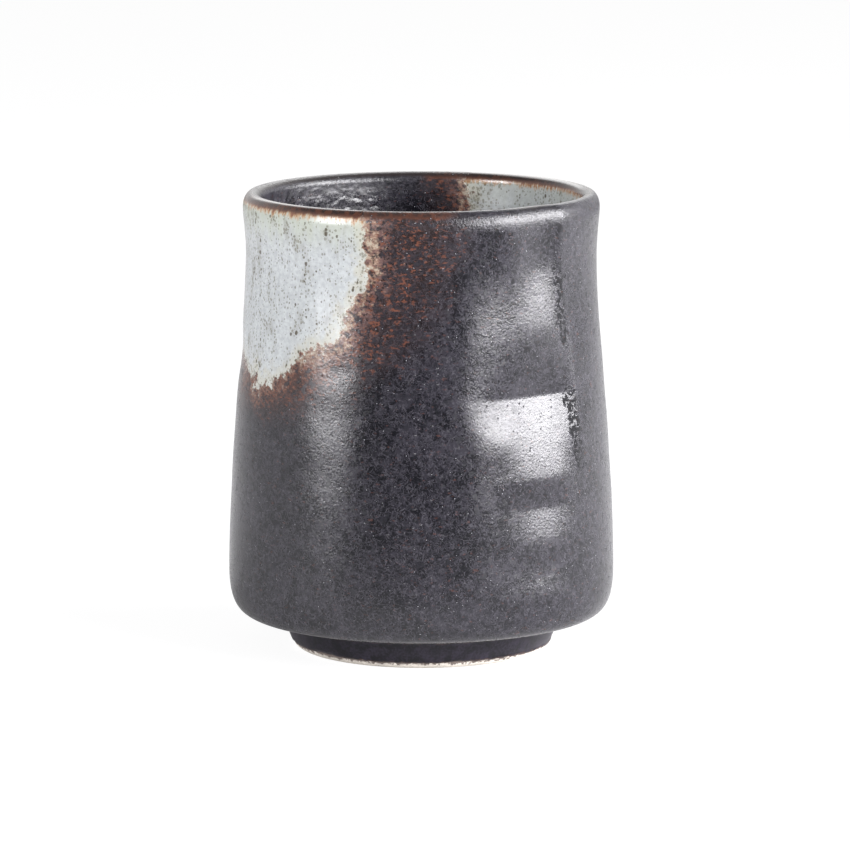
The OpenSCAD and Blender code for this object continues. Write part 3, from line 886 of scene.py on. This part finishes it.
def glaze_material(name, looks, patches, cup, outside, inside):
    """One glaze for the wall, the liner or, on both sides, the lip. The same formulas in the
    same coordinates run through all three, so that colours cross from one piece to the next."""
    sheet = Sheet(bpy.data.materials.new(name))
    plain, tone, spot = dark_glaze(sheet, looks)
    if outside:
        # The crawl line is painted near black: partly the dark body that crawled glaze bares, partly
        # painted shade of the crease
        crawl_and_shade = crawl_line(sheet)
        plain = sheet.mix(crawl_and_shade * 0.95, plain, looks.iron_dark)
    sides = []
    if inside:
        q = reach(sheet, patches.inner_angle, patches.inner_half, patches.inner_drop, INNER_LOBES)
        halo = reach(sheet, patches.inner_angle, patches.inner_halo_half, patches.inner_halo_drop)
        sides.append(patch_layers(sheet, looks, plain, q, halo, INNER_EXTRA))
    if outside:
        q = reach(sheet, patches.outer_angle, patches.outer_half, patches.outer_drop, PALE_LOBES)
        halo = reach(sheet, patches.outer_angle, patches.halo_half, patches.halo_drop)
        sides.append(patch_layers(sheet, looks, plain, q, halo, 0.0))
    base, pale = lip_layers(sheet, looks, cup, *sides) if inside and outside else sides[0][:2]
    # Each pinhole's middle gets a painted glint, a painted highlight, with a dark ring round it
    painted_glint, ring = glints(sheet, 1.2)
    # Just above the foot the glaze is painted a lighter mauve: partly thinner glaze, partly a painted
    # highlight along the seam
    seam = sheet.step_mm(sheet.along(UP), 1.1, 0.2, SEAT_Z)
    base = sheet.over(
        base,
        (ring * (1 - pale) * 0.8, looks.iron_dark),
        (painted_glint * (1 - pale) * 0.6, looks.painted_glint),
        (seam * 0.7, looks.seam))
    top = sheet.step_mm(sheet.along(UP), -5, -3, CUP_H)
    rough = looks.roughness - 0.02 + tone * 0.04 + spot * 0.10 + top * 0.12
    rough = rough + (0.165 + top * 0.04 - rough) * pale
    pits = sheet.noise(0.42, 2.0, 0.6)
    if outside:
        skin = sheet.noise(1.6, 1.0, 0.5)
        relief = skin * (0.6 - pale * 0.3) + pits * (0.9 - pale * 0.7) * (1 + top * 1.2)
    else:
        skin = sheet.noise(2.4, 1.0, 0.5, 1.6)
        relief = skin * (3.0 - pale * 2.6) + pits * (0.4 - pale * 0.3)
    relief = relief + blisters(sheet, 1.1, (tone - 0.5) * 0.3 - 0.28) * (1 - pale) * 3.0
    if outside:
        rough = rough + crawl_and_shade * 0.1
        relief = relief - crawl_and_shade * (2.0 - pits * 3)
    normal = sheet.bump(relief, looks.relief, 1.0)
    if outside:
        normal = sheet.tipped(normal, crawl_and_shade * -0.6)
    return sheet.finished(base, rough, normal, IOR=GLAZE_IOR)


def foot_glaze_material(looks, foot):
    """Smooth dark glaze of the foot, thin and brown where it ends above the bare clay."""
    sheet = Sheet(bpy.data.materials.new("foot_glaze"))
    fine = sheet.noise(0.5, 3.0, 0.6)
    mottle = sheet.noise(2.4, 3.0, 0.55)
    streak = sheet.noise(1.6, 3.0, 0.6, 3.0)
    height = sheet.along(UP)
    seam = sheet.step_mm(height, -1.6, -0.5, SEAT_Z) * sheet.step(streak, 0.5, 0.62)
    ragged = height + (sheet.noise(0.9, 3.0, 0.65) - 0.5) * 1.8 * MM
    base = sheet.over(
        sheet.mix(sheet.step(mottle * 0.5 + fine * 0.5, 0.40, 0.62), looks.iron_dark, looks.foot),
        (seam * 0.6, looks.brown),
        (sheet.step_mm(ragged, 0.7, 0.3, foot.bare_h) * 0.9, looks.brown),
        (sheet.step_mm(ragged, 0.25, -0.1, foot.bare_h), looks.clay))
    return sheet.finished(base, 0.3 + mottle * 0.12, sheet.bump(fine, 0.05 * MM, 0.5), IOR=FOOT_IOR)


def clay_material(name, tone, looks, stained_z=None):
    """Bare fired stoneware: sandy grain, iron spots and a rough surface, with brown bits of
    glaze above a height."""
    sheet = Sheet(bpy.data.materials.new(name))
    sand = sheet.noise(0.35, 4.0, 0.7)
    blush = sheet.noise(5, 2.0, 0.5)
    spot = sheet.step(sheet.noise(0.5, 2.0, 0.5), 0.68, 0.74)
    base = sheet.over(
        sheet.mix(sheet.step(sand * 0.6 + blush * 0.4, 0.35, 0.65), toned(tone, 0.72), tone),
        (spot * 0.7, looks.brown))
    if stained_z:
        bits = sheet.along(UP) + (sheet.noise(1.0, 3.0, 0.65) - 0.5) * 2.6 * MM
        base = sheet.mix(sheet.step_mm(bits, -0.2, 0.2, stained_z) * 0.85, base, looks.brown)
    return sheet.finished(base, 0.78 + sand * 0.15, sheet.bump(sand, 0.12 * MM, 0.8))


def scene_groups(context):
    """The five groups of settings that the operators read."""
    s = context.scene
    return s.cup_shape, s.pale_patches, s.foot_shape, s.glaze_looks, s.stage_looks


class CUP_OT_outer_glaze(bpy.types.Operator):
    """Makes the dark glaze on the outside wall and the pale patch that lies on it"""
    bl_idname = "cup.outer_glaze"
    bl_label = "Outer glaze"

    def execute(self, context):
        cup, patches, _, looks, _ = scene_groups(context)
        surface = Surface(cup)
        material = glaze_material("outer_glaze", looks, patches, cup, True, False)
        coat(surface, 0, surface.starts[LIP], OUTER_SKIP,
             "outer_glaze_coat", material, ["outer_glaze"], "dark_glaze")
        patch(cup, patches.outer_angle, patches.outer_half, patches.outer_drop, False,
              "outer_pale_coat", material, ["outer_pale_glaze"], "pale_glaze")
        return {"FINISHED"}


class CUP_OT_lip_glaze(bpy.types.Operator):
    """Makes the band of glaze over the lip, which breaks brown on its crest"""
    bl_idname = "cup.lip_glaze"
    bl_label = "Lip glaze"

    def execute(self, context):
        cup, patches, _, looks, _ = scene_groups(context)
        surface = Surface(cup)
        material = glaze_material("lip_glaze", looks, patches, cup, True, True)
        coat(surface, surface.starts[LIP], surface.starts[INNER], LIP_SKIP,
             "lip_glaze_coat", material, ["lip_glaze"], "lip_glaze")
        return {"FINISHED"}


class CUP_OT_liner_glaze(bpy.types.Operator):
    """Makes the glaze inside the cup and the pale patch on the inner wall"""
    bl_idname = "cup.liner_glaze"
    bl_label = "Liner glaze"

    def execute(self, context):
        cup, patches, _, looks, _ = scene_groups(context)
        surface = Surface(cup)
        material = glaze_material("liner_glaze", looks, patches, cup, False, True)
        coat(surface, surface.starts[INNER], len(surface.r) - 1, LINER_SKIP,
             "liner_glaze_coat", material, ["liner_glaze"], "liner_glaze")
        patch(cup, patches.inner_angle, patches.inner_half, patches.inner_drop, True,
              "inner_pale_coat", material, ["inner_pale_glaze"], "pale_glaze")
        return {"FINISHED"}


class CUP_OT_foot(bpy.types.Operator):
    """Makes the bare foot ring, the glaze on its outside and the glaze in its hollow"""
    bl_idname = "cup.foot"
    bl_label = "Foot"

    def execute(self, context):
        cup, _, foot, looks, _ = scene_groups(context)
        glaze = foot_glaze_material(looks, foot)
        foot_ring_piece(foot, cup, clay_material("foot_clay", looks.clay, looks, foot.bare_h))
        foot_glaze_piece(foot, cup, glaze)
        base_glaze_piece(foot, cup, glaze)
        return {"FINISHED"}


class CUP_OT_clay(bpy.types.Operator):
    """Gives the clay body and the luting slip of the frame their fired clay"""
    bl_idname = "cup.clay"
    bl_label = "Clay under the glaze"

    def execute(self, context):
        looks = context.scene.glaze_looks
        body = clay_material("body_clay", toned(looks.clay, 0.7), looks)
        slip = clay_material("slip_clay", toned(looks.clay, 0.55), looks)
        for node, material in (("clay_body", body), ("luting_slip", slip)):
            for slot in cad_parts[node].material_slots:
                slot.material = material
        return {"FINISHED"}


def soft_light(name, azimuth, width, low_z, power):
    """An upright rectangular light that faces the cup from an angle round it, with its lower
    edge at low_z."""
    light = bpy.data.lights.new(name, "AREA")
    light.shape = "RECTANGLE"
    light.size, light.size_y, light.energy = width, LIGHT_H, power
    light.color = LIGHT_TINT
    lamp = placed(name, light)
    way = Vector((sin(azimuth), -cos(azimuth), 0))
    lamp.location = way * LIGHT_AWAY + Vector((0, 0, low_z + LIGHT_H / 2))
    lamp.rotation_euler = way.to_track_quat("Z", "Y").to_euler()


class CUP_OT_stage(bpy.types.Operator):
    """Makes the camera, the pale floor and the soft studio light"""
    bl_idname = "cup.stage"
    bl_label = "Studio"

    def execute(self, context):
        stage = context.scene.stage_looks
        scene = context.scene
        scene.view_settings.view_transform = "Standard"
        self.camera(scene, stage)
        self.floor(stage)
        self.world(scene, stage)
        soft_light("right_light", stage.key_angle, KEY_W, stage.key_low, stage.key_power)
        soft_light("left_light", stage.fill_angle, FILL_W, stage.fill_low, stage.fill_power)
        return {"FINISHED"}

    def camera(self, scene, stage):
        """The photograph's camera: its cup stands a little left of the middle."""
        data = bpy.data.cameras.new("camera")
        data.sensor_width, data.lens = SENSOR, SENSOR * FOCAL_PX / PHOTO_PX
        camera = placed("camera", data)
        aside = (PHOTO_PX / 2 - CUP_AXIS_PX) * stage.distance / FOCAL_PX
        back = Vector((0, -cos(stage.pitch), sin(stage.pitch)))
        camera.location = Vector((aside, 0, stage.look_z)) + back * stage.distance
        camera.rotation_euler = back.to_track_quat("Z", "Y").to_euler()
        data.clip_start, data.clip_end = 0.05, 50
        scene.camera = camera

    def floor(self, stage):
        """A flat square of pale paper that the camera sees nearly white. What the glaze mirrors
        of it turns dark towards the front."""
        mesh = bpy.data.meshes.new("floor")
        square = [(x * FLOOR_HALF, y * FLOOR_HALF, 0) for x, y in ((-1, -1), (1, -1), (1, 1), (-1, 1))]
        mesh.from_pydata(square, [], [(0, 1, 2, 3)])
        floor = placed("floor", mesh)
        sheet = Sheet(bpy.data.materials.new("floor"))
        cloud = sheet.noise(400, 2.0, 0.5)
        tone = sheet.mix(cloud, [stage.floor_grey] * 3, [stage.floor_grey + 0.015] * 3)
        seen, mirrored = sheet.node("LightPath", output=["Is Camera Ray", "Is Glossy Ray"])
        ahead = sheet.step_mm(sheet.along(FRONT), 20, 300)
        tone = sheet.mix(mirrored * ahead * 0.85, tone, (0, 0, 0))
        paper = sheet.node("BsdfDiffuse", {}, {"Color": tone})
        glow = sheet.node("Emission", {}, {"Color": (1, 1, 1, 1), "Strength": 1.13})
        shown = sheet.node("MixShader", {}, {0: seen * 0.8, 1: paper, 2: glow})
        sheet.node("OutputMaterial", {}, {"Surface": shown})
        mesh.materials.append(sheet.owner)

    def world(self, scene, stage):
        """White where the camera looks. Where the glaze mirrors it, white at the sides, dark in
        front and overhead, with a bright window behind, and an even light for the rest."""
        scene.world = bpy.data.worlds.new("studio")
        sheet = Sheet(scene.world)
        toward = sheet.node("TexCoord", output=0)
        front, up, aside = (sheet.dot(toward, way) for way in (FRONT, UP, RIGHT))
        behind = sheet.step(front, -0.35, -0.6) * sheet.step(up, 0.2, 0.35) * sheet.step(up, 0.85, 0.75)
        behind = behind * sheet.step(sheet.math("ABSOLUTE", aside), 0.45, 0.25)
        mirrored = 1 - sheet.step(front, 0.35, 0.85) * 0.88
        mirrored = mirrored * (1 - sheet.step(up, 0.45, 0.8) * 0.75) + behind * 2.7
        seen, glossy, through = sheet.node(
            "LightPath", output=["Is Camera Ray", "Is Glossy Ray", "Is Transmission Ray"])
        strength = stage.ambient + (mirrored - stage.ambient) * glossy
        strength = strength + (1 - strength) * sheet.math("MAXIMUM", seen, through)
        white = sheet.node("Background", {}, {"Color": (1, 1, 1, 1), "Strength": strength})
        sheet.node("OutputWorld", {}, {"Surface": white})


OPERATORS = [CUP_OT_stage, CUP_OT_clay, CUP_OT_foot, CUP_OT_outer_glaze, CUP_OT_lip_glaze,
             CUP_OT_liner_glaze]


class CUP_PT_panel(bpy.types.Panel):
    """Lists the pieces of the cup and their sizes"""
    bl_label = "Tea cup"
    bl_idname = "CUP_PT_panel"
    bl_space_type = "VIEW_3D"
    bl_region_type = "UI"
    bl_category = "Tea cup"

    def draw(self, context):
        for operator in OPERATORS:
            self.layout.operator(operator.bl_idname)
        for name in GROUPS:
            group = getattr(context.scene, name)
            box = self.layout.box()
            for key in group.__annotations__:
                box.prop(group, key)


GROUPS = {
    "cup_shape": CupShape,
    "pale_patches": PalePatches,
    "foot_shape": FootShape,
    "glaze_looks": GlazeLooks,
    "stage_looks": StageLooks,
}
CLASSES = [*GROUPS.values(), *OPERATORS, CUP_PT_panel]


def register():
    """Adds the groups, the operators and the panel."""
    for kind in CLASSES:
        bpy.utils.register_class(kind)
    for name, group in GROUPS.items():
        setattr(bpy.types.Scene, name, PointerProperty(type=group))


def unregister():
    """Takes them away again, the last one first."""
    for name in GROUPS:
        delattr(bpy.types.Scene, name)
    for kind in reversed(CLASSES):
        bpy.utils.unregister_class(kind)


def main():
    register()
    bpy.ops.cup.stage()
    bpy.ops.cup.clay()
    bpy.ops.cup.foot()
    bpy.ops.cup.outer_glaze()
    bpy.ops.cup.lip_glaze()
    bpy.ops.cup.liner_glaze()


if __name__ == "__main__":
    main()
